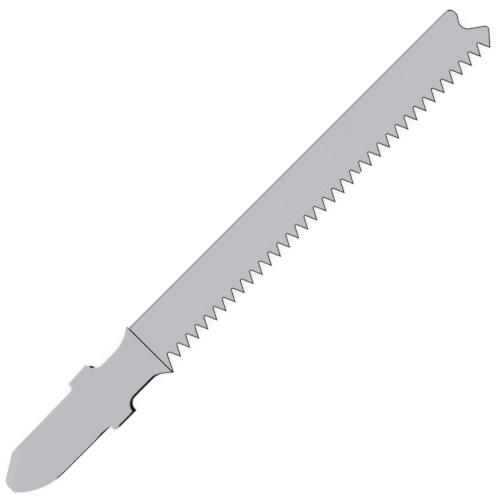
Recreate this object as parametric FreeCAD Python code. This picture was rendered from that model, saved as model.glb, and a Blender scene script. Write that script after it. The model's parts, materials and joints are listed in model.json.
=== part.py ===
import FreeCAD, Part
import math
import os

os.makedirs("parts", exist_ok=True)

# A jigsaw blade with a T shank, in millimetres and degrees, made from one strip of steel.
# It lies flat: X runs from the shank to the nose, the teeth face -Y, the back edge faces +Y
# and the shank's underside is at Z = 0. The origin is on that underside, on the centreline,
# midway along the lugs. Widths are measured from the centreline, to the back or to the teeth.

# Thickness of the strip, and of the ground body where it is thickest and thinnest
shank_thickness = 1.5
thickness_at_teeth = 1.26
thickness_at_back = 1.06

# Tail, the end that the saw's clamp takes first
tail_length = 17.75          # from the middle of the lugs to the end face
tail_back = 3.62
tail_teeth = 3.69
tail_draft = 0.9             # angle by which its back side draws in towards the end
slant_length = 3.80          # of the slanted edge on the back side, along the blade
slant_angle = 31.7           # between the slanted edge and the blade's axis
slant_round = 1.20           # radius between the slanted edge and the end face
sweep_radius = 9.40          # of the curved edge on the tooth side
sweep_end = 0.76             # the end face's corner with that curve, from the centreline

# Lug on the back side. Its top leans, and its fore side slants down to the neck.
back_lug_side = 4.68         # its top from the centreline, at the origin
back_lug_lean = 3.7          # angle by which its top falls towards the tail
back_lug_rear = 1.85         # how far it reaches behind the origin
back_lug_fore = 1.64         # and ahead of it, at the top
back_lug_slant = 27.0        # of its fore side, from square
back_lug_round = 0.12        # radius of its fore corner
back_lug_root = 0.55         # radius between the tail and the lug
back_neck_root = 1.35        # radius between the lug and the neck

# Lug on the tooth side, which is square but for one clipped corner
teeth_lug_side = 4.66
teeth_lug_rear = 1.84
teeth_lug_fore = 2.24
teeth_lug_root = 0.30
teeth_neck_root = 1.18
clip_length = 0.65           # its clipped rear corner
clip_depth = 0.29

# Neck, which widens to the shoulder in a horn on the back side and a heel on the tooth side
neck_back = 3.18
neck_teeth = 3.21
shoulder_at = 9.53           # from the origin to the horn's face
horn_tip = 4.58              # from the centreline, before its corner is clipped
horn_radius = 6.40
horn_clip_length = 0.10      # the clipped corner of its tip, along the blade
horn_clip_depth = 0.20       # and across
heel_tip = 4.64              # from the centreline
heel_ahead = 0.10            # the heel's tip, ahead of the horn's face
heel_radius = 2.42
heel_angle = 40.0            # between the heel's flank and the blade's axis

# Body and teeth
body_back = 4.16
tip_line = 3.85              # the tooth tips' distance from the centreline
first_tip_run = 2.315        # from the shoulder to the first tip
tooth_count = 35
tooth_pitch = 1.779
rake_angle = 27.4            # of each tooth's flank towards the nose, from square
clearance_angle = 23.4       # of its flank towards the shank, from square
gullet_radius = 0.13
first_gullet_radius = 0.24   # beside the heel
first_gullet_extra = 0.13    # how much deeper that gullet is, before it is rounded
chipped_tooth = 21           # counted from the shank
chip_depth = 0.52            # what its tip has lost

# Nose, with a crown at the back, a hollow, and a beak over the last tooth
crown_ahead = 0.075          # the crown's face, ahead of the last tip
crown_round = 0.95           # radius between the back edge and the crown's face
crown_foot = 2.63            # where that face turns into the hollow, from the centreline
crown_foot_round = 0.90
hollow_angle = 54.6          # between the hollow's rear side and the blade's axis
hollow_radius = 1.03
beak_rear_angle = 35.4       # between the beak's rear edge and the blade's axis
beak_front_angle = 48.15     # between its front edge and the blade's axis
beak_side = 1.45             # the beak's corner, from the centreline towards the teeth
beak_round = 0.60

# Grinding and bevels, the same on both faces
wheel_radius = 0.23          # of the grinding wheel's corner, which shapes the step
wheel_bite = 0.12            # how far the wheel cuts into the horn's face
lead_width = 1.15            # bevel round the tail, across the face
lead_drop = 0.18             # and down the side
lead_fade = 3.0              # where it runs out along the tooth side
neck_bevel_width = 0.30      # bevel along the heel, neck and lug on the tooth side
neck_bevel_drop = 0.40
back_bevel = 0.26            # 45 degree bevel along the body's back edge

clear = 0.5                  # how far the cutting shapes stand off the metal


def point(x, y, z=0.0):
    return FreeCAD.Vector(x, y, z)


def tangent(angle):
    return math.tan(math.radians(angle))


class Path:
    """A stretch of the outline, drawn clockwise as seen from above.

    Each of its edges is (start, end, centre), where a straight edge has no centre."""

    def __init__(self, start):
        self.at = start
        self.edges = []

    def line(self, end):
        self.edges.append((self.at, end, None))
        self.at = end

    def arc(self, centre, end):
        self.edges.append((self.at, end, centre))
        self.at = end

    def through(self, corners, end):
        """Runs straight from corner to corner and on to end. A corner is (place, radius).

        A radius is kept small enough for the straight edges on both sides of it."""
        places = [self.at] + [place for place, radius in corners] + [end]
        used = 0.0
        for i, (place, radius) in enumerate(corners, 1):
            back = places[i - 1] - place
            ahead = places[i + 1] - place
            half_angle = back.getAngle(ahead) / 2
            room = min(back.Length - used, ahead.Length)
            used = min(radius / math.tan(half_angle), 0.95 * room)
            back.normalize()
            ahead.normalize()
            if radius:
                self.line(place + back * used)
                bisector = (back + ahead).normalize()
                self.arc(place + bisector * (used / math.cos(half_angle)), place + ahead * used)
            else:
                self.line(place)
        self.line(end)


def drawn(edge):
    start, end, centre = edge
    if centre is None:
        return Part.LineSegment(start, end).toShape()
    middle = (start + end) / 2 - centre
    crest = centre + middle * ((start - centre).Length / middle.Length)
    return Part.Arc(start, crest, end).toShape()


def plate(paths, thickness):
    edges = [drawn(edge) for path in paths for edge in path.edges]
    return Part.Face(Part.Wire(edges)).extrude(point(0, 0, thickness))


def polygon(corners):
    return Part.Face(Part.makePolygon(corners + corners[:1]))


# Outline, clockwise from the end face's corner
def end_path():
    """The end face, and the slanted edge that leads the tail into the clamp."""
    end_at = -tail_length
    top = tail_back - (tail_length - slant_length - back_lug_rear) * tangent(tail_draft)
    foot = point(end_at, top - slant_length * tangent(slant_angle))
    path = Path(point(end_at, -sweep_end))
    path.through([(foot, slant_round)], point(end_at + slant_length, top))
    return path


def back_lug_path(start):
    """Along the tail, over the lug and the neck, and up the horn to its face."""
    rear_top = back_lug_side - back_lug_rear * tangent(back_lug_lean)
    fore_top = back_lug_side + back_lug_fore * tangent(back_lug_lean)
    fore_foot = back_lug_fore + (fore_top - neck_back) * tangent(back_lug_slant)
    rise = horn_tip - neck_back
    horn_run = math.sqrt(2 * horn_radius * rise - rise**2)
    horn_foot = point(shoulder_at - horn_run, neck_back)
    path = Path(start)
    path.through(
        [
            (point(-back_lug_rear, tail_back), back_lug_root),
            (point(-back_lug_rear, rear_top), 0),
            (point(back_lug_fore, fore_top), back_lug_round),
            (point(fore_foot, neck_back), back_neck_root),
        ],
        horn_foot,
    )
    centre = horn_foot + point(0, horn_radius)
    clip_y = centre.y - math.sqrt(horn_radius**2 - (horn_run - horn_clip_length) ** 2)
    path.arc(centre, point(shoulder_at - horn_clip_length, clip_y))
    path.line(point(shoulder_at, horn_tip - horn_clip_depth))
    path.line(point(shoulder_at, body_back))
    return path


def nose_path(start, last_tip):
    """Along the back edge, round the crown, through the hollow and round the beak."""
    crown_at = last_tip.x + crown_ahead
    beak = last_tip + point((tip_line - beak_side) / tangent(beak_front_angle), tip_line - beak_side)
    # The hollow's two sides, from the crown's foot and from the beak, meet at its bottom.
    fall = (beak.x - crown_at) * tangent(beak_rear_angle)
    gap = crown_foot + beak_side - fall
    into = gap / (tangent(hollow_angle) + tangent(beak_rear_angle))
    bottom = point(crown_at - into, crown_foot - into * tangent(hollow_angle))
    path = Path(start)
    path.through(
        [
            (point(crown_at, body_back), crown_round),
            (point(crown_at, crown_foot), crown_foot_round),
            (bottom, hollow_radius),
            (beak, beak_round),
        ],
        last_tip,
    )
    return path


def teeth_path(first_tip, last_tip, heel):
    """Back along the teeth, from the last tip to the heel, which ends the first gullet."""
    spread = tangent(rake_angle) + tangent(clearance_angle)
    depth = tooth_pitch / spread
    first_depth = depth + first_gullet_extra
    root = point(-depth * tangent(clearance_angle), depth)
    first_root = point(-first_depth * tangent(clearance_angle), first_depth)
    corners = []
    for number in range(tooth_count, 0, -1):
        tip = first_tip + point((number - 1) * tooth_pitch, 0)
        if number == chipped_tooth:
            corners.append((tip + point(chip_depth * tangent(rake_angle), chip_depth), 0))
            corners.append((tip + point(-chip_depth * tangent(clearance_angle), chip_depth), 0))
        elif number < tooth_count:
            corners.append((tip, 0))
        if number > 1:
            corners.append((tip + root, gullet_radius))
        else:
            corners.append((tip + first_root, first_gullet_radius))
    path = Path(last_tip)
    path.through(corners, heel)
    return path


def neck_path(heel):
    """Down the heel's flank, along the neck and round the lug to its clipped corner."""
    flank_run = (heel_tip - neck_teeth) / tangent(heel_angle)
    path = Path(heel)
    path.through(
        [
            (heel + point(-flank_run, heel_tip - neck_teeth), heel_radius),
            (point(teeth_lug_fore, -neck_teeth), teeth_neck_root),
            (point(teeth_lug_fore, -teeth_lug_side), 0),
        ],
        point(clip_length - teeth_lug_rear, -teeth_lug_side),
    )
    return path


def tail_path(start, end):
    """From the clipped corner along the tail's tooth side to the start of the sweep."""
    path = Path(start)
    path.through(
        [
            (point(-teeth_lug_rear, clip_depth - teeth_lug_side), 0),
            (point(-teeth_lug_rear, -tail_teeth), teeth_lug_root),
        ],
        end,
    )
    return path


def sweep_path(end):
    """The curved edge on the tooth side, tangent to the tail's side, to the end face."""
    centre_y = sweep_radius - tail_teeth
    reach = math.sqrt(sweep_radius**2 - (centre_y - end.y) ** 2)
    path = Path(point(end.x + reach, -tail_teeth))
    path.arc(point(end.x + reach, centre_y), end)
    return path


# Cutting shapes, all for the upper face
def bevel_section(start, inward, width, drop, height):
    """What a bevel takes off a face at this height, cut across at start."""
    outside = -clear / 2
    inside = width + clear / 2
    low = height - drop + outside * drop / width
    high = height - drop + inside * drop / width
    return polygon(
        [
            start + inward * outside + point(0, 0, low),
            start + inward * inside + point(0, 0, high),
            start + inward * outside + point(0, 0, high),
        ]
    )


def bevel(edge, width, drop, height=shank_thickness, before=0.0, after=0.0):
    """What a bevel takes off along an edge, from a length before it to a length after it."""
    start, end, centre = edge
    if centre is None:
        along = (end - start).normalize()
        section = bevel_section(start - along * before, point(along.y, -along.x), width, drop, height)
        return section.extrude(along * ((end - start).Length + before + after))
    spoke = start - centre
    # An arc that turns clockwise bulges outwards, so its centre is on the metal's side.
    side = -1 if spoke.cross(end - centre).z < 0 else 1
    section = bevel_section(start, spoke * (side / spoke.Length), width, drop, height)
    length = spoke.getAngle(end - centre) * spoke.Length
    turn = side * math.degrees(1 / spoke.Length)
    section.rotate(centre, point(0, 0, 1), -before * turn)
    return section.revolve(centre, point(0, 0, 1), (length + before + after) * turn)


def lead_in(end, sweep):
    """The shallow bevel round the tail's end, which fades out along the tooth side."""
    end_face = end.edges[0]
    slant = end.edges[-1]
    past_slant = 2 * lead_width / tangent(slant_angle)
    start, finish, centre = sweep.edges[0]
    foot = point(start.x, start.y, shank_thickness - lead_drop)
    inner = point(start.x, start.y + lead_width, shank_thickness)
    faded = point(start.x + lead_fade, start.y, shank_thickness)
    overshoot = 1 + clear / lead_width
    fade = polygon([inner, inner + (foot - inner) * overshoot, inner + (faded - inner) * overshoot])
    return [
        bevel(end_face, lead_width, lead_drop, before=lead_width, after=2 * lead_width),
        bevel(slant, lead_width, lead_drop, before=2 * lead_width, after=past_slant),
        bevel(sweep.edges[0], lead_width, lead_drop, after=lead_width),
        fade.extrude(point(0, 0, shank_thickness)),
    ]


def neck_bevel(neck):
    """The bevel along the heel, neck and lug, mitred round the lug's sharp fore corner.

    Along the lug it runs on past the clipped corner, where it fades out."""
    *smooth, lug_fore, lug_side = neck.edges
    past = 2 * neck_bevel_width
    cuts = [bevel(edge, neck_bevel_width, neck_bevel_drop) for edge in smooth]
    cuts.append(bevel(lug_fore, neck_bevel_width, neck_bevel_drop, after=past))
    cuts.append(bevel(lug_side, neck_bevel_width, neck_bevel_drop, before=past, after=past + clip_length))
    return cuts


def ground_height(y):
    """Height of the ground upper face, which slopes down from the teeth to the back."""
    share = (y + tip_line) / (body_back + tip_line)
    thickness = thickness_at_teeth + (thickness_at_back - thickness_at_teeth) * share
    return (shank_thickness + thickness) / 2


def grinding(nose_at):
    """What the wheel takes off the upper face, from the step at the shoulder to the nose."""
    first_y = -heel_tip - clear
    last_y = horn_tip + clear
    # A cut deeper than the corner's radius would have a straight wall above it.
    depth = min(shank_thickness - ground_height(body_back), wheel_radius)
    foot_x = shoulder_at - wheel_bite + math.sqrt(2 * wheel_radius * depth - depth**2)
    floor = ground_height(first_y)
    top = shank_thickness + clear
    foot = point(foot_x, first_y, floor)
    hub = foot + point(0, 0, wheel_radius)
    side = hub - point(wheel_radius, 0)
    crest = hub + (foot + side - hub * 2).normalize() * wheel_radius
    corners = [
        foot,
        point(nose_at + clear, first_y, floor),
        point(nose_at + clear, first_y, top),
        point(side.x, first_y, top),
        side,
    ]
    edges = [Part.LineSegment(a, b).toShape() for a, b in zip(corners, corners[1:])]
    edges.append(Part.Arc(side, crest, foot).toShape())
    sideways = point(0, last_y - first_y, ground_height(last_y) - floor)
    return Part.Face(Part.Wire(edges)).extrude(sideways)


def on_both_faces(shapes):
    middle = point(0, 0, shank_thickness / 2)
    return shapes + [shape.mirror(middle, point(0, 0, 1)) for shape in shapes]


def blade():
    first_tip = point(shoulder_at + first_tip_run, -tip_line)
    last_tip = first_tip + point((tooth_count - 1) * tooth_pitch, 0)
    heel = point(shoulder_at + heel_ahead, -heel_tip)
    end = end_path()
    back = back_lug_path(end.at)
    nose = nose_path(back.at, last_tip)
    teeth = teeth_path(first_tip, last_tip, heel)
    neck = neck_path(heel)
    sweep = sweep_path(end.edges[0][0])
    tail = tail_path(neck.at, sweep.edges[0][0])
    blank = plate([end, back, nose, teeth, neck, tail, sweep], shank_thickness)
    back_edge = nose.edges[0]
    cuts = lead_in(end, sweep)
    cuts += neck_bevel(neck)
    cuts.append(grinding(blank.BoundBox.XMax))
    cuts.append(bevel(back_edge, back_bevel, back_bevel, ground_height(body_back), after=crown_round))
    return blank.cut(on_both_faces(cuts))


blade().exportStep("parts/blade.step")
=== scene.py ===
import json
import math
from functools import partial
from typing import NamedTuple

import bmesh
import bpy
from bpy.props import FloatProperty, FloatVectorProperty, IntProperty, PointerProperty
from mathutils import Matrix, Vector
from mathutils.geometry import delaunay_2d_cdt


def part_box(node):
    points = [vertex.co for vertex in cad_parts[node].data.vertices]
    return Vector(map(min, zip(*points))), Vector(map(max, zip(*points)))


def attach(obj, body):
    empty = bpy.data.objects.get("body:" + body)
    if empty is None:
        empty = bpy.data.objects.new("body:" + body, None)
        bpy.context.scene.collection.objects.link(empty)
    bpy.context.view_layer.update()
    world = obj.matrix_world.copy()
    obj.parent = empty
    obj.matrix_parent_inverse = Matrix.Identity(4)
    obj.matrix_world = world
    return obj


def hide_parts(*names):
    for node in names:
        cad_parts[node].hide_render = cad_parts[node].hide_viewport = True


bl_info = {
    "name": "Jigsaw blade",
    "version": (1, 0, 0),
    "blender": (4, 5, 0),
    "location": "3D View > Sidebar > Jigsaw blade",
    "description": "Builds a ground jigsaw blade with a T shank, and a plain studio round it",
    "category": "Object",
}

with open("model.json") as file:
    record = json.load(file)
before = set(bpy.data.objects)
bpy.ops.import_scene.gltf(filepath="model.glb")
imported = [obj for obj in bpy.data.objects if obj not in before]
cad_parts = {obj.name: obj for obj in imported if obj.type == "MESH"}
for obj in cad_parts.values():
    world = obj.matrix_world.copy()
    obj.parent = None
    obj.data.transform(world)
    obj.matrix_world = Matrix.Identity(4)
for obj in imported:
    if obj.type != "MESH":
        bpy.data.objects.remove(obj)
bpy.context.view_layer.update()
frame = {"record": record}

# The blade lies flat: X runs from the shank to the nose, the teeth face -Y and the back edge
# faces +Y. The origin is on the shank's underside, on the centreline, midway along the lugs.
# Widths are measured from the centreline. Every length is in metres.
MM = 0.001
LOW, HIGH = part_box("blade")
MOUNTS = {mount["name"]: mount for mount in frame["record"]["mounts"]}
SHANK_THICKNESS = MOUNTS["shank_upper_face"]["pos_m"][2]
TAIL_LENGTH = -LOW.x
BODY_BACK = MOUNTS["back_edge"]["pos_m"][1]
TEETH_LUG_SIDE = -LOW.y

# Tail
TAIL_BACK = 3.62 * MM
TAIL_TEETH = 3.69 * MM
TAIL_DRAFT = math.radians(0.9)
SLANT_LENGTH = 3.80 * MM
SLANT_ANGLE = math.radians(31.7)
SLANT_ROUND = 1.20 * MM
SWEEP_RADIUS = 9.40 * MM
SWEEP_END = 0.76 * MM

# Lugs
BACK_LUG_SIDE = 4.68 * MM
BACK_LUG_LEAN = math.radians(3.7)
BACK_LUG_REAR = 1.85 * MM
BACK_LUG_FORE = 1.64 * MM
BACK_LUG_SLANT = math.radians(27.0)
BACK_LUG_ROUND = 0.12 * MM
BACK_LUG_ROOT = 0.55 * MM
BACK_NECK_ROOT = 1.35 * MM
TEETH_LUG_REAR = 1.84 * MM
TEETH_LUG_FORE = 2.29 * MM
TEETH_LUG_ROOT = 0.30 * MM
TEETH_NECK_ROOT = 1.18 * MM
CLIP_LENGTH = 0.65 * MM
CLIP_DEPTH = 0.29 * MM

# Neck and shoulder
NECK_BACK = 3.18 * MM
NECK_TEETH = 3.21 * MM
SHOULDER_AT = 9.53 * MM
HORN_TIP = 4.58 * MM
HORN_RADIUS = 6.40 * MM
HORN_CLIP_LENGTH = 0.10 * MM
HORN_CLIP_DEPTH = 0.20 * MM
HEEL_TIP = 4.64 * MM
HEEL_AHEAD = 0.10 * MM
HEEL_RADIUS = 2.42 * MM
HEEL_ANGLE = math.radians(40.0)

# Nose, measured ahead of the last tooth's tip and from the centreline
CROWN_AHEAD = 0.075 * MM
CROWN_ROUND = 0.95 * MM
CROWN_FOOT = 2.63 * MM
CROWN_FOOT_ROUND = 0.90 * MM
HOLLOW_ANGLE = math.radians(54.6)
HOLLOW_RADIUS = 1.25 * MM
BEAK_REAR_ANGLE = math.radians(35.4)
BEAK_FRONT_ANGLE = math.radians(48.15)
BEAK_SIDE = 1.45 * MM
BEAK_ROUND = 0.60 * MM

# Step and rim of the ground body. The step is painted dark as shade, and the line at its foot and the rim
# are painted highlights.
STEP_TO = 4.22 * MM
STEP_DARK = 0.205 * MM
STEP_LIP = 0.012 * MM
STEP_LIGHT = 0.10 * MM
RIM_WIDTH = 0.20 * MM

# Where the bevels change, and the sizes of the smallest ones
HEEL_FADE = 0.30 * MM
LUG_FADE = 0.90 * MM
LUG_WIDE = 0.07 * MM
LUG_WIDE_TO = 0.90 * MM
# From here rearwards the lug side's bevel is painted a grey shade in place of the dark one.
LUG_GREY_FROM = -1.00 * MM
ROLLED_WIDTH = 0.24 * MM
ROLLED_DROP = 0.02 * MM
# The tail's painted dark shade: wider between two places, and where it ends on the sweep.
TAIL_SHADE_EXTRA = 0.12 * MM
TAIL_SHADE_WIDE_FROM = -3.40 * MM
TAIL_SHADE_WIDE_TO = -4.60 * MM
TAIL_SHADE_TO = -12.20 * MM
TAIL_SHADE_TAPER = 0.06 * MM
# The first steps round the crown get the grey painted shade, the rest the dark.
GREY_CROWN_STEPS = 3

# Burr on the back lug's fore side
BURR_TOP = 4.33 * MM
BURR_FOOT = 3.55 * MM
BURR_FADE = 0.08 * MM
BURR_OUT = 0.15 * MM
BURR_WIDTH = 0.28 * MM
BURR_DROP = 0.28 * MM

# Mesh
ARC_STEP = math.radians(7.5)
STEP_ANGLES = range(0, 90, 15)
STEP_PLACES = 9
STEP_REACH = 1.2 * HORN_TIP
MOST_OF_ROOM = 0.95
WELD = 0.0002 * MM
TINY = 0.00001 * MM
FLAT = math.radians(0.05)
SHARP = math.radians(20)

# Studio
FLOOR_SIDE = 3.0
FLOOR_AT = -0.01 * MM
FLOOR_TONE = 0.25
FLOOR_GLOW = 0.8
SUN_FROM = Vector((-1, 1, 4.3))
SUN_SIZE = math.radians(10)
VIEW_CENTRE = Vector((29.05 * MM, -0.08 * MM))
VIEW_TURN = math.radians(-45)
CLIP_RANGE = 100


def length(name, description, millimetres):
    return FloatProperty(
        name=name, description=description, default=millimetres * MM, min=0.0, unit="LENGTH", precision=5
    )


def angle(name, description, degrees):
    return FloatProperty(name=name, description=description, default=math.radians(degrees), subtype="ANGLE")


def colour(name, description, default):
    return FloatVectorProperty(
        name=name, description=description, default=default, min=0.0, max=1.0, subtype="COLOR"
    )


class TeethSizes(bpy.types.PropertyGroup):
    """Sizes of the tooth row."""

    count: IntProperty(name="Teeth", description="Teeth in the whole row", default=35, min=4)
    pitch: length("Pitch", "From one tip to the next", 1.779)
    tip_line: length("Tip line", "The tips' distance from the centreline", 3.85)
    first_tip: length("First tip", "From the shoulder to the first tip", 2.315)
    rake: angle("Rake", "A tooth's flank towards the nose, from square", 27.4)
    clearance: angle("Clearance", "A tooth's flank towards the shank, from square", 23.4)
    gullet: length("Gullet", "Radius of a gullet", 0.13)
    first_gullet: length("First gullet", "Radius of the gullet beside the heel", 0.24)
    first_extra: length("First gullet depth", "How much deeper that gullet is than the others", 0.13)
    chipped: IntProperty(name="Chipped tooth", description="Its number from the shank", default=21, min=2)
    chip: length("Chip", "What the chipped tooth's tip has lost", 0.52)


class GrindingSizes(bpy.types.PropertyGroup):
    """Sizes of the ground faces, the bevels and the edge breaks."""

    at_teeth: length("At the teeth", "Thickness of the ground body at the tip line", 1.26)
    at_back: length("At the back", "Thickness of the ground body at the back edge", 1.06)
    wheel: length("Wheel corner", "Radius that the wheel's corner leaves at the step", 0.23)
    bite: length("Bite", "How far the wheel cuts into the horn's face", 0.12)
    lead_width: length("Lead-in width", "Bevel round the tail, across the face", 1.15)
    lead_drop: length("Lead-in drop", "Bevel round the tail, down the side", 0.18)
    lead_fade: length("Lead-in fade", "Where that bevel runs out along the tooth side", 3.0)
    neck_width: length("Neck bevel width", "Bevel along the neck, across the face", 0.34)
    heel_width: length("Heel bevel width", "The same bevel at the heel's tip", 0.15)
    lug_fore_width: length("Lug bevel width", "The same bevel up the lug's fore side", 0.52)
    lug_width: length("Lug side width", "The same bevel along the lug's side", 0.28)
    neck_drop: length("Neck bevel drop", "Bevel along heel, neck and lug, down the side", 0.40)
    back_bevel: length("Back bevel", "45 degree bevel along the back edge", 0.26)
    tail_width: length("Tail break width", "Break along the tail's tooth side", 0.155)
    tail_drop: length("Tail break drop", "The same break, down the side", 0.12)
    edge_width: length("Edge break width", "Break along the teeth and the nose, across the face", 0.15)
    edge_drop: length("Edge break drop", "Break along the teeth and the nose, down the side", 0.10)


class FinishColours(bpy.types.PropertyGroup):
    """Colours of the steel, each where its finish is lightest. Several are painted light and shade:
    highlights along the back edges and at the step's foot, and shade on the bevels, the walls, the step and
    the edges.
    """

    face: colour("Shank", "The rolled faces of the shank", (0.506, 0.512, 0.536))
    # Painted highlight: the back side's edge, which faces the sun.
    rolled: colour("Rolled edge", "The stamped edge of the shank's back side", (0.532, 0.538, 0.56))
    lead_in: colour("Lead-in", "The shallow bevel round the tail", (0.518, 0.524, 0.547))
    ground: colour("Body", "The ground faces of the body", (0.521, 0.529, 0.553))
    # Painted highlight: the rim along the body's back edge.
    rim: colour("Rim", "The bright rim along the body's back edge", (0.548, 0.555, 0.58))
    # Painted highlight: the bright line at the step's foot.
    bright: colour("Step's foot", "The bright line beside the step", (0.64, 0.64, 0.65))
    # Painted shade: a grey for the back edge's bevel and the end of the lug's, darker than the faces.
    bevel: colour("Bare bevels", "The back edge's bevel and the end of the lug's", (0.39, 0.395, 0.41))
    # Painted shade: the walls darker than the faces. The painted dark shade's spots take this colour too.
    wall: colour("Walls", "Side walls, and the steel that shows through the burn", (0.30, 0.302, 0.31))
    # Painted shade: near black, for the step, the edges, the neck's bevel, the tail's edge and the burr.
    dark: colour("Dark edges", "Burnt steel, at the step and along the edges", (0.007, 0.007, 0.0075))


class StudioSettings(bpy.types.PropertyGroup):
    """The light and the camera."""

    key: FloatProperty(name="Key light", description="Strength of the sun lamp", default=0.06, min=0.0)
    ambient: FloatProperty(name="Ambient", description="Light from all round", default=1.0, min=0.0)
    lens: FloatProperty(name="Lens", description="Focal length in millimetres", default=1000.0, min=1.0)
    view_width: length("View width", "What the camera takes in at the blade", 69.17)


def new_object(name, data):
    """An object with this data, in the scene."""
    made = bpy.data.objects.new(name, data)
    bpy.context.scene.collection.objects.link(made)
    return made


# Outline
def point(x, y):
    return Vector((x, y))


class Path:
    """A stretch of the outline, drawn clockwise as seen from above, with arcs as short straights."""

    def __init__(self, start):
        self.points = [start]

    def line(self, end):
        if (end - self.points[-1]).length > TINY:
            self.points.append(end)
        return self

    def arc(self, centre, end):
        """Turns round the centre, the short way, to end."""
        spoke = self.points[-1] - centre
        final = end - centre
        turn = math.atan2(spoke.x * final.y - spoke.y * final.x, spoke.dot(final))
        steps = max(2, math.ceil(abs(turn) / ARC_STEP))
        for i in range(1, steps):
            cosine = math.cos(turn * i / steps)
            sine = math.sin(turn * i / steps)
            self.line(centre + point(spoke.x * cosine - spoke.y * sine, spoke.x * sine + spoke.y * cosine))
        return self.line(end)

    def through(self, corners, end):
        """Runs from corner to corner and on to end. A corner is its place and its radius."""
        places = [self.points[-1]] + [place for place, radius in corners] + [end]
        used = 0.0
        for i, (place, radius) in enumerate(corners, 1):
            back = places[i - 1] - place
            ahead = places[i + 1] - place
            half_angle = back.angle(ahead) / 2
            room = min(back.length - used, ahead.length)
            used = min(radius / math.tan(half_angle), MOST_OF_ROOM * room)
            back.normalize()
            ahead.normalize()
            self.line(place + back * used)
            if radius:
                bisector = (back + ahead).normalized()
                self.arc(place + bisector * (used / math.cos(half_angle)), place + ahead * used)
        return self.line(end)


class Gullet:
    """A rounded gullet, with its deepest point and the places where its arc meets the two flanks."""

    def __init__(self, root, radius, teeth):
        to_rake = point(-math.tan(teeth.rake), -1).normalized()
        to_clearance = point(math.tan(teeth.clearance), -1).normalized()
        half_angle = (teeth.rake + teeth.clearance) / 2
        bisector = (to_rake + to_clearance).normalized()
        self.centre = root + bisector * (radius / math.sin(half_angle))
        self.deepest = self.centre + point(0, radius)
        self.on_rake = root + to_rake * (radius / math.tan(half_angle))
        self.on_clearance = root + to_clearance * (radius / math.tan(half_angle))


class Tooth:
    """The tooth of this number, counted from the shank, with a gullet on each side."""

    def __init__(self, teeth, number):
        self.teeth = teeth
        self.tip = point(SHOULDER_AT + teeth.first_tip + (number - 1) * teeth.pitch, -teeth.tip_line)
        depth = teeth.pitch / (math.tan(teeth.rake) + math.tan(teeth.clearance))
        nose_root = self.tip + point(depth * math.tan(teeth.rake), depth)
        shank_root = self.tip + point(-depth * math.tan(teeth.clearance), depth)
        self.nose_gullet = Gullet(nose_root, teeth.gullet, teeth)
        self.shank_gullet = Gullet(shank_root, teeth.gullet, teeth)
        # The gullet beside the heel is deeper than the others.
        extra = teeth.first_extra
        self.heel_root = shank_root + point(-extra * math.tan(teeth.clearance), extra)

    def rake_flank(self):
        """Round the gullet towards the nose, from its bottom to the foot of the rake flank."""
        gullet = self.nose_gullet
        return Path(gullet.deepest).arc(gullet.centre, gullet.on_rake)

    def clearance_flank(self, path):
        """Along the clearance flank, to the bottom of the gullet towards the shank."""
        gullet = self.shank_gullet
        return path.line(gullet.on_clearance).arc(gullet.centre, gullet.deepest)

    def whole(self):
        """From gullet to gullet over the tip."""
        return self.clearance_flank(self.rake_flank().line(self.tip))

    def chipped(self):
        """The two flanks, where the tooth has lost its tip."""
        chip = self.teeth.chip
        on_rake = self.tip + point(chip * math.tan(self.teeth.rake), chip)
        on_clearance = self.tip + point(-chip * math.tan(self.teeth.clearance), chip)
        return [self.rake_flank().line(on_rake), self.clearance_flank(Path(on_clearance))]


def end_path():
    """The end face, and the slanted edge that leads the tail into the clamp."""
    end_at = -TAIL_LENGTH
    top = TAIL_BACK - (TAIL_LENGTH - SLANT_LENGTH - BACK_LUG_REAR) * math.tan(TAIL_DRAFT)
    foot = point(end_at, top - SLANT_LENGTH * math.tan(SLANT_ANGLE))
    start = point(end_at, -SWEEP_END)
    return Path(start).through([(foot, SLANT_ROUND)], point(end_at + SLANT_LENGTH, top))


def back_lug_path(start):
    """Along the tail, over the lug and along the neck to the horn."""
    rear_top = BACK_LUG_SIDE - BACK_LUG_REAR * math.tan(BACK_LUG_LEAN)
    fore_top = BACK_LUG_SIDE + BACK_LUG_FORE * math.tan(BACK_LUG_LEAN)
    fore_foot = BACK_LUG_FORE + (fore_top - NECK_BACK) * math.tan(BACK_LUG_SLANT)
    corners = [
        (point(-BACK_LUG_REAR, TAIL_BACK), BACK_LUG_ROOT),
        (point(-BACK_LUG_REAR, rear_top), 0),
        (point(BACK_LUG_FORE, fore_top), BACK_LUG_ROUND),
        (point(fore_foot, NECK_BACK), BACK_NECK_ROOT),
    ]
    return Path(start).through(corners, horn_foot())


def horn_foot():
    """Where the horn starts to rise from the neck."""
    rise = HORN_TIP - NECK_BACK
    return point(SHOULDER_AT - math.sqrt(2 * HORN_RADIUS * rise - rise**2), NECK_BACK)


def horn_path():
    """Up the horn to its clipped tip, and down its face to the body's back edge."""
    foot = horn_foot()
    centre = foot + point(0, HORN_RADIUS)
    clip_at = SHOULDER_AT - HORN_CLIP_LENGTH
    clipped = point(clip_at, centre.y - math.sqrt(HORN_RADIUS**2 - (clip_at - centre.x) ** 2))
    path = Path(foot).arc(centre, clipped).line(point(SHOULDER_AT, HORN_TIP - HORN_CLIP_DEPTH))
    return path.line(point(SHOULDER_AT, BODY_BACK))


def neck_path(heel):
    """Down the heel's flank, along the neck and round the lug to its clipped corner."""
    flank_run = (HEEL_TIP - NECK_TEETH) / math.tan(HEEL_ANGLE)
    corners = [
        (heel + point(-flank_run, HEEL_TIP - NECK_TEETH), HEEL_RADIUS),
        (point(TEETH_LUG_FORE, -NECK_TEETH), TEETH_NECK_ROOT),
        (point(TEETH_LUG_FORE, -TEETH_LUG_SIDE), 0),
    ]
    return Path(heel).through(corners, point(CLIP_LENGTH - TEETH_LUG_REAR, -TEETH_LUG_SIDE))


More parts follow.
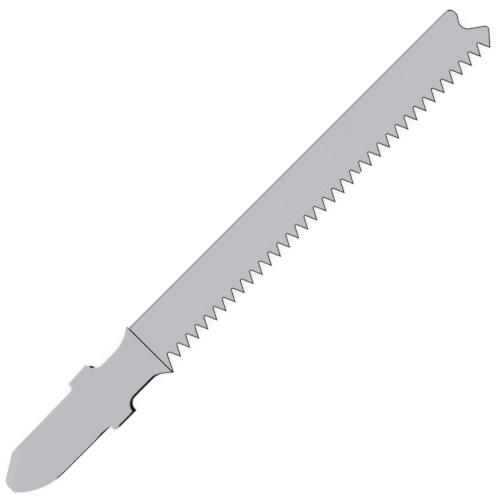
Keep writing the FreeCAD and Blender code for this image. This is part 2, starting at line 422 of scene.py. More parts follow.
def tail_path(start, end):
    """From the clipped corner along the tail's tooth side to the start of the sweep."""
    corners = [
        (point(-TEETH_LUG_REAR, CLIP_DEPTH - TEETH_LUG_SIDE), 0),
        (point(-TEETH_LUG_REAR, -TAIL_TEETH), TEETH_LUG_ROOT),
    ]
    return Path(start).through(corners, end)


def sweep_path(end):
    """The curved edge on the tooth side, tangent to the tail's side, to the end face."""
    centre_y = SWEEP_RADIUS - TAIL_TEETH
    reach = math.sqrt(SWEEP_RADIUS**2 - (centre_y - end.y) ** 2)
    centre = point(end.x + reach, centre_y)
    # Where the tail's painted dark shade ends on the sweep.
    shade_run = centre.x - TAIL_SHADE_TO
    shade_end = point(TAIL_SHADE_TO, centre.y - math.sqrt(SWEEP_RADIUS**2 - shade_run**2))
    return Path(point(centre.x, -TAIL_TEETH)).arc(centre, shade_end).arc(centre, end)


def nose_path(start, last_tip):
    """Along the back edge, round the crown, through the hollow and round the beak."""
    crown_at = last_tip.x + CROWN_AHEAD
    to_beak = -BEAK_SIDE - last_tip.y
    beak = last_tip + point(to_beak / math.tan(BEAK_FRONT_ANGLE), to_beak)
    # The hollow's two sides, from the crown's foot and from the beak, meet at its bottom.
    fall = (beak.x - crown_at) * math.tan(BEAK_REAR_ANGLE)
    into = (CROWN_FOOT + BEAK_SIDE - fall) / (math.tan(HOLLOW_ANGLE) + math.tan(BEAK_REAR_ANGLE))
    bottom = point(crown_at - into, CROWN_FOOT - into * math.tan(HOLLOW_ANGLE))
    corners = [
        (point(crown_at, BODY_BACK), CROWN_ROUND),
        (point(crown_at, CROWN_FOOT), CROWN_FOOT_ROUND),
        (bottom, HOLLOW_RADIUS),
        (beak, BEAK_ROUND),
    ]
    return Path(start).through(corners, last_tip)


# Bevels and edge breaks
def between(start, end, share):
    """The value this share of the way from start to end."""
    return start + (end - start) * share


def inward(start, end):
    """The direction into the metal, square to this stretch of the outline."""
    along = (end - start).normalized()
    return point(along.y, -along.x)


def mitre(before, place, after):
    """The direction into the metal at this place, which keeps both sides' distance."""
    one, other = inward(before, place), inward(place, after)
    return (one + other) / (1 + one.dot(other))


class Bevel:
    """A bevel on both faces along a line, whose width and drop may change from point to point.

    The metal is on the line's right-hand side. The ends can be given their inward direction.
    A bevel that goes into the others takes its drop off what they leave."""

    def __init__(self, finish, points, width, drop, ends=(None, None), into_others=False):
        self.finish = finish
        self.into_others = into_others
        self.points = points
        self.widths = width if isinstance(width, list) else [width] * len(points)
        self.drops = drop if isinstance(drop, list) else [drop] * len(points)
        first = ends[0] or inward(points[0], points[1])
        last = ends[1] or inward(points[-2], points[-1])
        mitres = [first] + [mitre(*three) for three in zip(points, points[1:], points[2:])] + [last]
        self.inner = [p + m * w for p, m, w in zip(points, mitres, self.widths)]

    def depth(self, place):
        """How far the bevel takes the face down at this place."""
        nearest = None
        for i in range(len(self.points) - 1):
            start = self.points[i]
            run = self.points[i + 1] - start
            share = min(max((place - start).dot(run) / run.length_squared, 0), 1)
            gap = (place - start - run * share).length
            if nearest is None or gap < nearest[0]:
                nearest = (gap, i, share)
        gap, i, share = nearest
        width = between(self.widths[i], self.widths[i + 1], share)
        drop = between(self.drops[i], self.drops[i + 1], share)
        if gap >= width - TINY:
            return 0.0
        return drop * (1 - gap / width)

    def creases(self):
        """The lines that the bevel draws on the face: its inner side, and one across at each point."""
        return list(zip(self.inner, self.inner[1:])) + list(zip(self.points, self.inner))


def back_bevel(start, end, grinding):
    """The bevel along this stretch of the back edge."""
    size = grinding.back_bevel
    return Bevel("bare_bevel", [start, end], size, size)


def edge_break(points, grinding, ends):
    """The edge break along the teeth, painted dark as shade."""
    return Bevel("dark_edge", points, grinding.edge_width, grinding.edge_drop, ends)


# The two faces, which are alike
class Face:
    """The upper face over the whole blade: its height, its finish and its lines."""

    def __init__(self, grinding, teeth):
        self.tip_line = teeth.tip_line
        self.grinding = grinding
        self.wheel = grinding.wheel
        bottom = SHANK_THICKNESS - self.ground(BODY_BACK)
        self.foot = SHOULDER_AT - grinding.bite + math.sqrt(2 * self.wheel * bottom - bottom**2)
        # A rim, painted lighter as a highlight, lies inside the back edge's bevel.
        self.rim_at = BODY_BACK - grinding.back_bevel - RIM_WIDTH

    def ground(self, y):
        """Height of the ground face, which slopes down from the teeth to the back."""
        share = (y + self.tip_line) / (BODY_BACK + self.tip_line)
        return (SHANK_THICKNESS + between(self.grinding.at_teeth, self.grinding.at_back, share)) / 2

    def step_top(self, y):
        """Where the step that the wheel leaves reaches the shank's face."""
        bottom = SHANK_THICKNESS - self.ground(y)
        return self.foot - math.sqrt(2 * self.wheel * bottom - bottom**2)

    def height(self, place):
        """Height of the shank's face, the step or the ground face at this place."""
        into = self.foot - place.x
        if into <= 0:
            return self.ground(place.y)
        if into >= self.wheel:
            return SHANK_THICKNESS
        rise = self.wheel - math.sqrt(self.wheel**2 - into**2)
        return min(self.ground(place.y) + rise, SHANK_THICKNESS)

    def finish(self, place):
        """Which finish this place has."""
        # The rim and the step's foot are painted highlights, and the step is painted shade.
        ahead = place.x - self.foot
        if ahead > STEP_LIGHT:
            return "rim" if place.y > self.rim_at else "ground_face"
        if place.y > STEP_TO or ahead < -STEP_DARK:
            return "shank_face"
        return "step_foot" if ahead > -STEP_LIP else "step"

    def creases(self):
        """The lines of the step, from the teeth's side to the back, and of the rim."""
        side = STEP_REACH
        sides = [side * (2 * i / (STEP_PLACES - 1) - 1) for i in range(STEP_PLACES)]
        tops = [point(self.step_top(y), y) for y in sides]
        columns = [self.foot - self.wheel * math.sin(math.radians(a)) for a in STEP_ANGLES]
        columns += [self.foot + ahead for ahead in (STEP_LIGHT, -STEP_LIP, -STEP_DARK)]
        lines = list(zip(tops, tops[1:])) + [(point(x, -side), point(x, side)) for x in columns]
        return lines + [(point(columns[-1], self.rim_at), point(HIGH.x, self.rim_at))]


FINISHES = [
    "shank_face",
    "ground_face",
    "rim",
    "lead_in",
    "rolled_edge",
    "step",
    "step_foot",
    "dark_edge",
    "neck_bevel",
    "bare_bevel",
    "tail_edge",
    "wall",
]


class WorkedFace:
    """A face with its bevels on it."""

    def __init__(self, face, bevels):
        self.face = face
        self.later = [bevel for bevel in bevels if bevel.into_others]
        self.first = [bevel for bevel in bevels if not bevel.into_others]

    def height(self, place):
        """The face's height where the deepest bevel, and then those that go into it, are cut."""
        deepest = max(bevel.depth(place) for bevel in self.first)
        return self.face.height(place) - (deepest + sum(bevel.depth(place) for bevel in self.later))

    def finish(self, place):
        """The finish of the bevel that was cut last here, or else of the face."""
        for group in (self.later, self.first):
            deepest = max(group, key=lambda bevel: bevel.depth(place), default=None)
            if deepest and deepest.depth(place) > 0:
                return deepest.finish
        return self.face.finish(place)


def divided(outline, creases):
    """The outline's inside, divided along the creases, as places and the loops that join them."""
    places = list(outline)
    edges = []
    for start, end in creases:
        if (end - start).length > TINY:
            edges.append((len(places), len(places) + 1))
            places += [start, end]
    inside = list(reversed(range(len(outline))))
    found = delaunay_2d_cdt(places, edges, [inside], 1, TINY)
    places, loops, sources = found[0], found[2], found[5]
    return places, [loop for loop, source in zip(loops, sources) if source]


def add_walls(mesh, finish, below, open_at):
    """Joins the upper face's border to the lower one's, but for the open sides."""
    border = [edge for edge in mesh.edges if edge.is_boundary and edge.verts[0] in below]
    for edge in border:
        loop = edge.link_loops[0]
        start, end = loop.vert, loop.link_loop_next.vert
        if any(abs(start.co.x - x) < WELD and abs(end.co.x - x) < WELD for x in open_at):
            continue
        mesh.faces.new([end, start, below[start], below[end]])[finish] = FINISHES.index("wall")


def part_object(name, outline, bevels, face, open_at):
    """One part of the blade: both faces over this outline, and its walls but for the open sides."""
    worked = WorkedFace(face, bevels)
    creases = [crease for bevel in bevels for crease in bevel.creases()]
    places, loops = divided(outline, face.creases() + creases)
    mesh = bmesh.new()
    finish = mesh.faces.layers.int.new("finish")
    upper = []
    lower = []
    for place in places:
        height = worked.height(place)
        upper.append(mesh.verts.new((place.x, place.y, height)))
        lower.append(mesh.verts.new((place.x, place.y, SHANK_THICKNESS - height)))
    for loop in loops:
        middle = sum((places[i] for i in loop), point(0, 0)) / len(loop)
        number = FINISHES.index(worked.finish(middle))
        mesh.faces.new([upper[i] for i in loop])[finish] = number
        mesh.faces.new([lower[i] for i in reversed(loop)])[finish] = number
    add_walls(mesh, finish, dict(zip(upper, lower)), open_at)
    bmesh.ops.delete(mesh, geom=[v for v in mesh.verts if not v.link_faces], context="VERTS")
    data = bpy.data.meshes.new(name)
    mesh.to_mesh(data)
    mesh.free()
    return new_object(name, data)


TO_BACK = point(0, 1)
FROM_BACK = point(0, -1)


def shank_part(teeth, grinding, face):
    """The tail, lugs, neck and shoulder, with the first tooth."""
    tooth = Tooth(teeth, 1)
    heel = point(SHOULDER_AT + HEEL_AHEAD, -HEEL_TIP)
    end = end_path()
    back_lug = back_lug_path(end.points[-1])
    burr = add_burr(back_lug)
    horn = horn_path()
    first = tooth.rake_flank().line(tooth.tip).through([(tooth.heel_root, teeth.first_gullet)], heel)
    neck = neck_path(heel)
    sweep = sweep_path(end.points[0])
    tail = tail_path(neck.points[-1], sweep.points[0])
    corner = point(first.points[0].x, BODY_BACK)
    outline = end.points + back_lug.points[1:] + horn.points[1:] + [corner]
    outline += first.points + neck.points[1:] + tail.points[1:] + sweep.points[1:-1]
    bevels = [
        lead_in(sweep, end, grinding),
        back_bevel(horn.points[-1], corner, grinding),
        burr_bevel(burr),
        *rolled_edges(back_lug, burr, horn),
        edge_break(first.points, grinding, (TO_BACK, None)),
        *neck_bevels(neck, grinding),
        tail_edge(tail, sweep, grinding),
    ]
    return part_object("shank_part", outline, bevels, face, [corner.x])


def lead_in(sweep, end, grinding):
    """The shallow bevel round the tail's end, which fades out along the tooth side."""
    width, drop = grinding.lead_width, grinding.lead_drop
    faded = sweep.points[0] + point(grinding.lead_fade, 0)
    past = (end.points[-1] - end.points[-2]).normalized() * (2 * width / math.tan(SLANT_ANGLE))
    points = [faded] + sweep.points + end.points[1:] + [end.points[-1] + past]
    count = len(points) - 1
    return Bevel("lead_in", points, [0.0] + [width] * count, [0.0] + [drop] * count)


def neck_bevels(neck, grinding):
    """The bevel along the heel and neck, wider up the lug, and the one along the lug's side.

    They meet at the lug's corner. Both are painted dark as shade, and past the middle of its side the bevel
    is painted a grey shade."""
    points = neck.points[:-1]
    corner = points[-1]
    middle = sum(place.x for place in points) / len(points)
    widths = []
    for place in points:
        rise = max(-NECK_TEETH - place.y, 0)
        if place.x > middle:
            end, share = grinding.heel_width, math.sqrt(min(rise / HEEL_FADE, 1))
        else:
            end, share = grinding.lug_fore_width, min(rise / LUG_FADE, 1)
        widths.append(between(grinding.neck_width, end, share))
    drop = grinding.neck_drop
    side = grinding.lug_width
    wide = side + LUG_WIDE
    narrow = point(LUG_WIDE_TO, corner.y)
    grey_from = point(LUG_GREY_FROM, corner.y)
    past = neck.points[-1] - point(2 * side + CLIP_LENGTH, 0)
    fore_mitre = point(-1, wide / widths[-1])
    side_mitre = point(-widths[-1] / wide, 1)
    return [
        Bevel("neck_bevel", points, widths, drop, (None, fore_mitre)),
        Bevel("neck_bevel", [corner, narrow, grey_from], [wide, side, side], drop, (side_mitre, None)),
        Bevel("bare_bevel", [grey_from, neck.points[-1], past], side, drop),
    ]


def crossing(points, y):
    """Where these points last come down past y: the number of the next point, and the place."""
    for i in range(len(points) - 1, 0, -1):
        before, after = points[i - 1], points[i]
        if before.y >= y > after.y:
            return i, before.lerp(after, (before.y - y) / (before.y - after.y))
    raise RuntimeError("the back lug's fore side doesn't reach the burr")


def add_burr(back_lug):
    """Puts the small burr on the back lug's fore side, and gives its line."""
    first, top = crossing(back_lug.points, BURR_TOP)
    last, foot = crossing(back_lug.points, BURR_FOOT)
    along = (foot - top).normalized()
    out = point(-along.y, along.x) * BURR_OUT
    line = [top, top + along * BURR_FADE + out, foot - along * BURR_FADE + out, foot]
    back_lug.points[first:last] = line
    return line


def rolled_edges(back_lug, burr, horn):
    """The stamping's slightly rounded edge along the back side, behind the burr and ahead of it, painted
    lighter as a highlight.
    """
    points = back_lug.points
    behind = points[: points.index(burr[0]) + 1]
    ahead = points[points.index(burr[-1]) :] + horn.points[1:-2]
    return [Bevel("rolled_edge", part, ROLLED_WIDTH, ROLLED_DROP) for part in (behind, ahead)]


def burr_bevel(line):
    """The burr's top, painted dark as shade, which narrows to nothing at each end."""
    return Bevel("dark_edge", line, [0.0, BURR_WIDTH, BURR_WIDTH, 0.0], [0.0, BURR_DROP, BURR_DROP, 0.0])


def tail_edge(tail, sweep, grinding):
    """The narrow break along the tail's tooth side, painted dark as shade, which ends bluntly on the sweep.
    """
    painted_dark = [place for place in sweep.points if place.x > TAIL_SHADE_TO - TINY]
    beyond = sweep.points[len(painted_dark)]
    end = painted_dark[-1] + (beyond - painted_dark[-1]).normalized() * TAIL_SHADE_TAPER
    widest = [point(x, -TAIL_TEETH) for x in (TAIL_SHADE_WIDE_FROM, TAIL_SHADE_WIDE_TO)]
    points = [tail.points[-2]] + widest + painted_dark + [end]
    widths = [grinding.tail_width] * len(points)
    widths[1] += TAIL_SHADE_EXTRA
    widths[-1] = 0.0
    drops = [grinding.tail_drop] * (len(points) - 1) + [0.0]
    return Bevel("tail_edge", points, widths, drops, into_others=True)


def nose_part(teeth, grinding, face):
    """The nose, with the last two teeth."""
    tooth = Tooth(teeth, teeth.count)
    before = Tooth(teeth, teeth.count - 1)
    corner = point(before.shank_gullet.deepest.x, BODY_BACK)
    outline = tooth.clearance_flank(nose_path(corner, tooth.tip)).points + before.whole().points[1:]
    # The back edge's bevel narrows round the crown to the edge break. Both are painted shade: grey at first,
    # and dark further on.
    edge = outline[1:]
    widths = []
    drops = []
    for place in edge:
        share = min((place.x - edge[0].x) / CROWN_ROUND, 1) if place.y > CROWN_FOOT else 1
        widths.append(between(grinding.back_bevel, grinding.edge_width, share))
        drops.append(between(grinding.back_bevel, grinding.edge_drop, share))
    painted_dark = GREY_CROWN_STEPS
    middle = mitre(*edge[painted_dark - 1 : painted_dark + 2])
    bevels = [
        back_bevel(corner, edge[0], grinding),
        Bevel("bare_bevel", edge[: painted_dark + 1], widths[: painted_dark + 1], drops[: painted_dark + 1], (FROM_BACK, middle)),
        Bevel("dark_edge", edge[painted_dark:], widths[painted_dark:], drops[painted_dark:], (middle, TO_BACK)),
    ]
    return part_object("nose_part", outline, bevels, face, [corner.x])


def tooth_part(name, flanks, grinding, face):
    """One pitch of the body, with a tooth whose flanks are one stretch, or two where it is chipped."""
    rear = point(flanks[-1].points[-1].x, BODY_BACK)
    fore = point(flanks[0].points[0].x, BODY_BACK)
    # The edge break runs on into the next teeth's at the bottom of the gullets.
    starts = [TO_BACK] + [None] * (len(flanks) - 1)
    bevels = [back_bevel(rear, fore, grinding)]
    for path, ends in zip(flanks, zip(starts, reversed(starts))):
        bevels.append(edge_break(path.points, grinding, ends))
    outline = [rear, fore] + [place for path in flanks for place in path.points]
    return part_object(name, outline, bevels, face, [rear.x, fore.x])


# Node trees
def feed(tree, node, *inputs):
    """Links or sets this node's inputs. An input is its name or number and what it gets."""
    for key, value in inputs:
        if isinstance(value, bpy.types.NodeSocket):
            tree.links.new(value, node.inputs[key])
        else:
            node.inputs[key].default_value = value


def add_node(tree, kind, *inputs, **settings):
    """A node with these settings and inputs."""
    made = tree.nodes.new(kind)
    for key, value in settings.items():
        setattr(made, key, value)
    feed(tree, made, *inputs)
    return made


def new_tree(name, kind, inputs, outputs):
    """A tree with these sockets, with what it is given and the node that takes its results."""
    tree = bpy.data.node_groups.new(name, kind)
    for in_out, sockets in (("INPUT", inputs), ("OUTPUT", outputs)):
        for socket, holds in sockets.items():
            tree.interface.new_socket(socket, in_out=in_out, socket_type="NodeSocket" + holds)
    return tree, add_node(tree, "NodeGroupInput").outputs, add_node(tree, "NodeGroupOutput")


def maths(tree, operation, *values):
    """What a Math node makes of these values."""
    return add_node(tree, "ShaderNodeMath", *enumerate(values), operation=operation).outputs["Value"]


def is_number(tree, value, number):
    """Whether a whole number is this one. Compare's sockets for them are its third and fourth."""
    made = add_node(tree, "FunctionNodeCompare", (2, value), (3, number), data_type="INT", operation="EQUAL")
    return made.outputs["Result"]


# The tooth row and the whole blade
def blade_tree(materials):
    """Repeats the tooth part along the body, joins it to the ends and gives each face its finish."""
    inputs = {
        "Shank part": "Object",
        "Nose part": "Object",
        "Tooth part": "Object",
        "Chipped part": "Object",
        "Teeth in the row": "Int",
        "Pitch": "Float",
        "Chipped tooth": "Int",
        "Weld distance": "Float",
    }
    tree, given, results = new_tree(
        "Blade with tooth row", "GeometryNodeTree", inputs, {"Geometry": "Geometry"}
    )
    node = partial(add_node, tree)
    offset = node("ShaderNodeCombineXYZ", ("X", given["Pitch"]))
    row = node(
        "GeometryNodeMeshLine",
        ("Count", given["Teeth in the row"]),
        ("Offset", offset.outputs["Vector"]),
        mode="OFFSET",
    )
    is_chipped = is_number(tree, node("GeometryNodeInputIndex").outputs["Index"], given["Chipped tooth"])
    is_whole = node("FunctionNodeBooleanMath", (0, is_chipped), operation="NOT").outputs["Boolean"]
    join = node("GeometryNodeJoinGeometry")
    for name, chosen in (("Tooth part", is_whole), ("Chipped part", is_chipped)):
        part = node("GeometryNodeObjectInfo", ("Object", given[name]), ("As Instance", True))
        teeth = node(
            "GeometryNodeInstanceOnPoints",
            ("Points", row.outputs["Mesh"]),
            ("Selection", chosen),
            ("Instance", part.outputs["Geometry"]),
        )
        feed(tree, join, ("Geometry", teeth.outputs["Instances"]))
    for name in ("Shank part", "Nose part"):
        part = node("GeometryNodeObjectInfo", ("Object", given[name]))
        feed(tree, join, ("Geometry", part.outputs["Geometry"]))
    real = node("GeometryNodeRealizeInstances", ("Geometry", join.outputs["Geometry"]))
    latest = node(
        "GeometryNodeMergeByDistance",
        ("Geometry", real.outputs["Geometry"]),
        ("Distance", given["Weld distance"]),
    )
    finish = node("GeometryNodeInputNamedAttribute", ("Name", "finish"), data_type="INT")
    for number, name in enumerate(FINISHES):
        latest = node(
            "GeometryNodeSetMaterial",
            ("Geometry", latest.outputs["Geometry"]),
            ("Selection", is_number(tree, finish.outputs["Attribute"], number)),
            ("Material", materials[name]),
        )
    feed(tree, results, ("Geometry", latest.outputs["Geometry"]))
    return tree


def blade_object(settings, materials):
    """The whole blade as one closed mesh."""
    teeth, grinding = settings.teeth, settings.grinding
    face = Face(grinding, teeth)
    second = Tooth(teeth, 2)
    parts = {
        "Shank part": shank_part(teeth, grinding, face),
        "Nose part": nose_part(teeth, grinding, face),
        "Tooth part": tooth_part("tooth_part", [second.whole()], grinding, face),
        "Chipped part": tooth_part("chipped_part", second.chipped(), grinding, face),
    }
    tree = blade_tree(materials)
    sockets = {socket.name: socket.identifier for socket in tree.interface.items_tree}
    row = new_object("tooth_row", bpy.data.meshes.new("tooth_row"))
    modifier = row.modifiers.new("Blade", "NODES")
    modifier.node_group = tree
    # The ends hold the first tooth and the last two, so the row between them starts at the second.
    values = {
        **parts,
        "Teeth in the row": teeth.count - 3,
        "Pitch": teeth.pitch,
        "Chipped tooth": teeth.chipped - 2,
        "Weld distance": WELD,
    }
    for name, value in values.items():
        modifier[sockets[name]] = value
    evaluated = row.evaluated_get(bpy.context.evaluated_depsgraph_get())
    data = bpy.data.meshes.new_from_object(evaluated)
    data.name = "steel_blade"
    blade = new_object("steel_blade", data)
    for helper in (row, *parts.values()):
        bpy.data.objects.remove(helper)
    bpy.data.node_groups.remove(tree)
    finish_mesh(data)
    return blade


def finish_mesh(data):
    """Checks that the mesh is closed, joins its level faces and shades its round stretches smooth."""
    mesh = bmesh.new()
    mesh.from_mesh(data)
    open_edges = [edge for edge in mesh.edges if not edge.is_manifold]
    if open_edges:
        raise RuntimeError("the blade's mesh isn't closed: %d open edges" % len(open_edges))
    bmesh.ops.dissolve_limit(mesh, angle_limit=FLAT, edges=mesh.edges, verts=[], delimit={"MATERIAL"})
    for made in mesh.faces:
        made.smooth = True
    for edge in mesh.edges:
        one, other = edge.link_faces
        edge.smooth = one.material_index == other.material_index and edge.calc_face_angle() < SHARP
    mesh.to_mesh(data)
    mesh.free()


# Lines along the blade, across it and down its walls. Frequencies are counts in a metre.
LINES_ALONG = (30.0, 4500.0, 4500.0)
LINES_ACROSS = (4500.0, 30.0, 4500.0)
LINES_DOWN = (3500.0, 3500.0, 120.0)
PATCH_FREQUENCY = 350.0
SPOT_FREQUENCY = 3000.0
# Roughness of the painted dark shade, and of its spots of steel colour.
DARK_PAINT_ROUGHNESS = 0.60
STEEL_SPOT_ROUGHNESS = 0.45
RELIEF = 0.004 * MM


class Marks(NamedTuple):
    """How a tool has marked the steel. A contrast is the share of its colour that is lost."""

    lines: tuple
    line_contrast: float
    patch_contrast: float
    roughness: float
    relief: float


ROLLED = Marks(LINES_ALONG, line_contrast=0.012, patch_contrast=0.012, roughness=0.5, relief=0.05)
SMOOTHED = ROLLED._replace(lines=LINES_ACROSS)
GROUND = Marks(LINES_ACROSS, line_contrast=0.04, patch_contrast=0.015, roughness=0.48, relief=0.15)
FINE_GROUND = Marks(LINES_ALONG, line_contrast=0.03, patch_contrast=0.015, roughness=0.48, relief=0.10)
BRIGHT = Marks(LINES_ALONG, line_contrast=0.03, patch_contrast=0.0, roughness=0.45, relief=0.10)
BEVELLED = Marks(LINES_ALONG, line_contrast=0.05, patch_contrast=0.03, roughness=0.5, relief=0.15)
SHEARED = Marks(LINES_DOWN, line_contrast=0.20, patch_contrast=0.10, roughness=0.55, relief=0.40)


# Effects that several finishes share, as shader groups
def spread_noise(tree, place, frequency, detail, low, high):
    """Noise at this frequency, spread out so that low becomes 0 and high becomes 1."""
    noise = add_node(tree, "ShaderNodeTexNoise", ("Vector", place), ("Scale", frequency), ("Detail", detail))
    spread = add_node(
        tree, "ShaderNodeMapRange", ("Value", noise.outputs["Fac"]), ("From Min", low), ("From Max", high)
    )
    return spread.outputs["Result"]


def tool_marks():
    """Fine parallel lines and slow patches, both from 0 to 1."""
    inputs = {"Line frequency": "Vector", "Patch frequency": "Float"}
    tree, given, results = new_tree(
        "Tool marks", "ShaderNodeTree", inputs, {"Lines": "Float", "Patches": "Float"}
    )
    place = add_node(tree, "ShaderNodeTexCoord").outputs["Object"]
    stretched = add_node(
        tree, "ShaderNodeVectorMath", (0, place), (1, given["Line frequency"]), operation="MULTIPLY"
    ).outputs["Vector"]
    lines = spread_noise(tree, stretched, 1.0, detail=3.0, low=0.3, high=0.7)
    patches = spread_noise(tree, place, given["Patch frequency"], detail=2.0, low=0.3, high=0.7)
    feed(tree, results, ("Lines", lines), ("Patches", patches))
    return tree


def metal_tone():
    """A metal's colour, darker where the lines and patches are strong, and its roughness."""
    shares = ("Roughness", "Lines", "Line contrast", "Patches", "Patch contrast")
    inputs = {"Color": "Color", **dict.fromkeys(shares, "Float")}
    tree, given, results = new_tree(
        "Metal tone", "ShaderNodeTree", inputs, {"Color": "Color", "Roughness": "Float"}
    )
    tint = given["Color"]
    for name, contrast in (("Lines", "Line contrast"), ("Patches", "Patch contrast")):
        loss = maths(tree, "MULTIPLY", given[name], given[contrast])
        kept = maths(tree, "SUBTRACT", 1.0, loss)
        scaled = add_node(tree, "ShaderNodeVectorMath", (0, tint), ("Scale", kept), operation="SCALE")
        tint = scaled.outputs["Vector"]
    rough = maths(tree, "MULTIPLY_ADD", given["Lines"], given["Line contrast"], given["Roughness"])
    feed(tree, results, ("Color", tint), ("Roughness", rough))
    return tree


def painted_shade_tone():
    """Painted dark shade, lighter in small spots where the steel's colour shows through, and its roughness.
    """
    inputs = {"Oxide": "Color", "Steel": "Color", "Spot frequency": "Float", "Worn": "Float"}
    tree, given, results = new_tree(
        "Painted shade tone", "ShaderNodeTree", inputs, {"Color": "Color", "Roughness": "Float"}
    )
    place = add_node(tree, "ShaderNodeTexCoord").outputs["Object"]
    spots = spread_noise(tree, place, given["Spot frequency"], detail=2.0, low=0.4, high=0.8)
    share = maths(tree, "MULTIPLY", spots, given["Worn"])
    # Mix's colours are its seventh and eighth sockets, and its mixed colour is its third.
    mix = add_node(
        tree,
        "ShaderNodeMix",
        ("Factor", share),
        (6, given["Oxide"]),
        (7, given["Steel"]),
        data_type="RGBA",
    )
    rough = add_node(
        tree,
        "ShaderNodeMapRange",
        ("Value", spots),
        ("To Min", DARK_PAINT_ROUGHNESS),
        ("To Max", STEEL_SPOT_ROUGHNESS),
    )
    feed(tree, results, ("Color", mix.outputs[2]), ("Roughness", rough.outputs["Result"]))
    return tree


def use_group(tree, group, *inputs):
    """What this group puts out in a material, with these inputs."""
    return add_node(tree, "ShaderNodeGroup", *inputs, node_tree=group).outputs


class Finishes:
    """The blade's materials, one for each finish, which share the groups above."""

    def __init__(self, colours):
        self.colours = colours
        self.marks = tool_marks()
        self.tone = metal_tone()
        self.painted_dark = painted_shade_tone()

    def marked_steel(self, name, tint, marks):
        """Steel with a tool's marks in its colour, its roughness and its relief."""
        material, tree, shader = new_material(name)
        pattern = use_group(
            tree, self.marks, ("Line frequency", marks.lines), ("Patch frequency", PATCH_FREQUENCY)
        )
        tone = use_group(
            tree,
            self.tone,
            ("Color", (*tint, 1)),
            ("Roughness", marks.roughness),
            ("Lines", pattern["Lines"]),
            ("Line contrast", marks.line_contrast),
            ("Patches", pattern["Patches"]),
            ("Patch contrast", marks.patch_contrast),
        )
        bump = add_node(
            tree,
            "ShaderNodeBump",
            ("Height", pattern["Lines"]),
            ("Strength", marks.relief),
            ("Distance", RELIEF),
        )
        feed(
            tree,
            shader,
            ("Base Color", tone["Color"]),
            ("Roughness", tone["Roughness"]),
            ("Normal", bump.outputs["Normal"]),
        )
        return material

    def painted_shade_steel(self, name, steel_spots):
        """Steel painted near black as shade, with spots of the steel's colour by this much."""
        material, tree, shader = new_material(name)
        tone = use_group(
            tree,
            self.painted_dark,
            ("Oxide", (*self.colours.dark, 1)),
            ("Steel", (*self.colours.wall, 1)),
            ("Spot frequency", SPOT_FREQUENCY),
            ("Worn", steel_spots),
        )
        feed(tree, shader, ("Base Color", tone["Color"]), ("Roughness", tone["Roughness"]))
        return material

    def shank_face(self):
        """Rolled strip, with faint lines along it."""
        return self.marked_steel("rolled_face", self.colours.face, ROLLED)

    def ground_face(self):
        """The ground body, with the wheel's lines across it."""
        return self.marked_steel("ground_face", self.colours.ground, GROUND)

    def rim(self):
        """The rim beside the back edge's bevel, painted lighter as a highlight along the edge that faces the
        sun.
        """
        return self.marked_steel("rim_highlight", self.colours.rim, FINE_GROUND)

    def lead_in(self):
        """The shallow bevel round the tail, ground across its edge."""
        return self.marked_steel("lead_in", self.colours.lead_in, SMOOTHED)

    def rolled_edge(self):
        """The edge that stamping has rounded, along the back side, painted lighter as a highlight, since it
        faces the sun.
        """
        return self.marked_steel("rolled_edge", self.colours.rolled, ROLLED)

    def step(self):
        """The step at the root of the grinding, painted dark as shade, as it faces away from the sun."""
        return self.painted_shade_steel("step", steel_spots=0.04)

    def step_foot(self):
        """A bright line at the step's foot, painted on as a highlight."""
        return self.marked_steel("step_foot", self.colours.bright, BRIGHT)

    def dark_edge(self):
        """The edges of the teeth, the nose and the burr, painted dark as shade."""
        return self.painted_shade_steel("dark_edge", steel_spots=0.03)

    def neck_bevel(self):
        """The bevel of the heel, neck and lug, painted dark as shade."""
        return self.painted_shade_steel("neck_bevel", steel_spots=0.02)

    def bare_bevel(self):
        """The back edge's bevel and the end of the lug's, ground along it and painted a grey shade, lighter
        than the dark edges.
        """
        return self.marked_steel("bare_bevel", self.colours.bevel, BEVELLED)

    def tail_edge(self):
        """The tail's edge, painted dark as shade, with more spots of steel colour than the others."""
        return self.painted_shade_steel("tail_edge", steel_spots=0.12)

    def wall(self):
        """The side walls, with shear marks down them, painted darker than the faces as shade."""
        return self.marked_steel("side_wall", self.colours.wall, SHEARED)

    def by_name(self):
        """Every finish's material, by the finish's name."""
        return {name: getattr(self, name)() for name in FINISHES}


def new_material(name, metallic=1.0):
    """A material, with its tree and its shader."""
    material = bpy.data.materials.new(name)
    material.use_nodes = True
    shader = material.node_tree.nodes["Principled BSDF"]
    shader.inputs["Metallic"].default_value = metallic
    return material, material.node_tree, shader


class BladeSettings(bpy.types.PropertyGroup):
    """The settings of the blade and the studio."""

    teeth: PointerProperty(type=TeethSizes)
    grinding: PointerProperty(type=GrindingSizes)
    colours: PointerProperty(type=FinishColours)
    studio: PointerProperty(type=StudioSettings)


class JIGSAW_OT_blade(bpy.types.Operator):
    """Make the blade from its settings, in place of the plain solid"""

    bl_idname = "jigsaw.blade"
    bl_label = "Make the blade"

    def execute(self, context):
        settings = context.scene.jigsaw_blade
        blade = blade_object(settings, Finishes(settings.colours).by_name())
        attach(blade, "root")
        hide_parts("blade")
        return {"FINISHED"}


class JIGSAW_OT_stage(bpy.types.Operator):
    """Make the floor, the light and the camera"""

    bl_idname = "jigsaw.stage"
    bl_label = "Make the stage"

    def execute(self, context):
        studio = context.scene.jigsaw_blade.studio
        floor()
        light(studio)
        camera(studio)
        context.scene.view_settings.view_transform = "Standard"
        return {"FINISHED"}


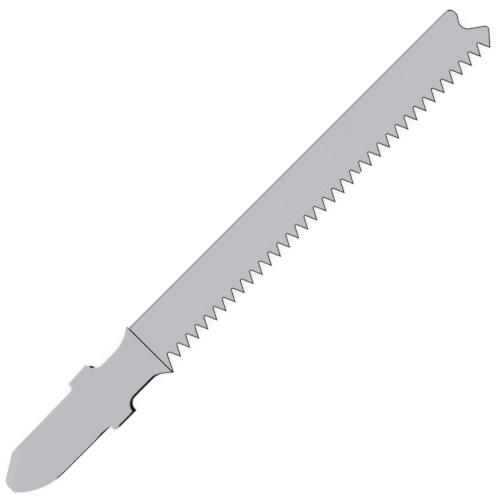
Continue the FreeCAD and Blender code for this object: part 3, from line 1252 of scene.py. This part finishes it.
def floor():
    """A large plain white floor."""
    data = bpy.data.meshes.new("floor")
    side = FLOOR_SIDE / 2
    corners = [(-side, -side), (side, -side), (side, side), (-side, side)]
    data.from_pydata([(x, y, FLOOR_AT) for x, y in corners], [], [(0, 1, 2, 3)])
    new_object("floor", data)
    material, tree, shader = new_material("floor", metallic=0.0)
    # It glows only where it is seen, directly or in the steel, and so lights nothing else.
    rays = add_node(tree, "ShaderNodeLightPath").outputs
    seen = rays["Is Camera Ray"]
    for kind in ("Is Glossy Ray", "Is Transmission Ray"):
        seen = maths(tree, "ADD", seen, rays[kind])
    feed(
        tree,
        shader,
        ("Base Color", (FLOOR_TONE, FLOOR_TONE, FLOOR_TONE, 1)),
        ("Roughness", 1.0),
        ("Specular IOR Level", 0.0),
        ("Emission Color", (1, 1, 1, 1)),
        ("Emission Strength", maths(tree, "MULTIPLY", seen, FLOOR_GLOW)),
    )
    data.materials.append(material)


def light(studio):
    """A soft sun high on the picture's left, between -X and +Y, and even light from all round."""
    lamp = bpy.data.lights.new("key", "SUN")
    lamp.energy = studio.key
    lamp.angle = SUN_SIZE
    sun = new_object("key", lamp)
    sun.rotation_euler = SUN_FROM.to_track_quat("Z", "Y").to_euler()
    world = bpy.data.worlds.new("studio")
    bpy.context.scene.world = world
    world.use_nodes = True
    background = world.node_tree.nodes["Background"]
    feed(world.node_tree, background, ("Color", (1, 1, 1, 1)), ("Strength", studio.ambient))


def camera(studio):
    """Straight above the blade, turned so that the nose points up and to the right."""
    data = bpy.data.cameras.new("camera")
    data.lens = studio.lens
    made = new_object("camera", data)
    away = studio.view_width * studio.lens / data.sensor_width
    made.location = (VIEW_CENTRE.x, VIEW_CENTRE.y, SHANK_THICKNESS + away)
    made.rotation_euler = (0, 0, VIEW_TURN)
    data.clip_start = away / CLIP_RANGE
    data.clip_end = away * CLIP_RANGE
    bpy.context.scene.camera = made


class JIGSAW_PT_blade(bpy.types.Panel):
    """Lists the steps and the settings in the sidebar"""

    bl_idname = "JIGSAW_PT_blade"
    bl_label = "Jigsaw blade"
    bl_space_type = "VIEW_3D"
    bl_region_type = "UI"
    bl_category = "Jigsaw blade"

    def draw(self, context):
        settings = context.scene.jigsaw_blade
        for group in (settings.teeth, settings.grinding, settings.colours, settings.studio):
            box = self.layout.box()
            for name in group.__annotations__:
                box.prop(group, name)
        for operator in (JIGSAW_OT_blade, JIGSAW_OT_stage):
            self.layout.operator(operator.bl_idname)


CLASSES = (
    TeethSizes,
    GrindingSizes,
    FinishColours,
    StudioSettings,
    BladeSettings,
    JIGSAW_OT_blade,
    JIGSAW_OT_stage,
    JIGSAW_PT_blade,
)


def register():
    for made in CLASSES:
        bpy.utils.register_class(made)
    bpy.types.Scene.jigsaw_blade = PointerProperty(type=BladeSettings)


def unregister():
    del bpy.types.Scene.jigsaw_blade
    for made in reversed(CLASSES):
        bpy.utils.unregister_class(made)


def main():
    register()
    bpy.ops.jigsaw.blade()
    bpy.ops.jigsaw.stage()


if __name__ == "__main__":
    main()
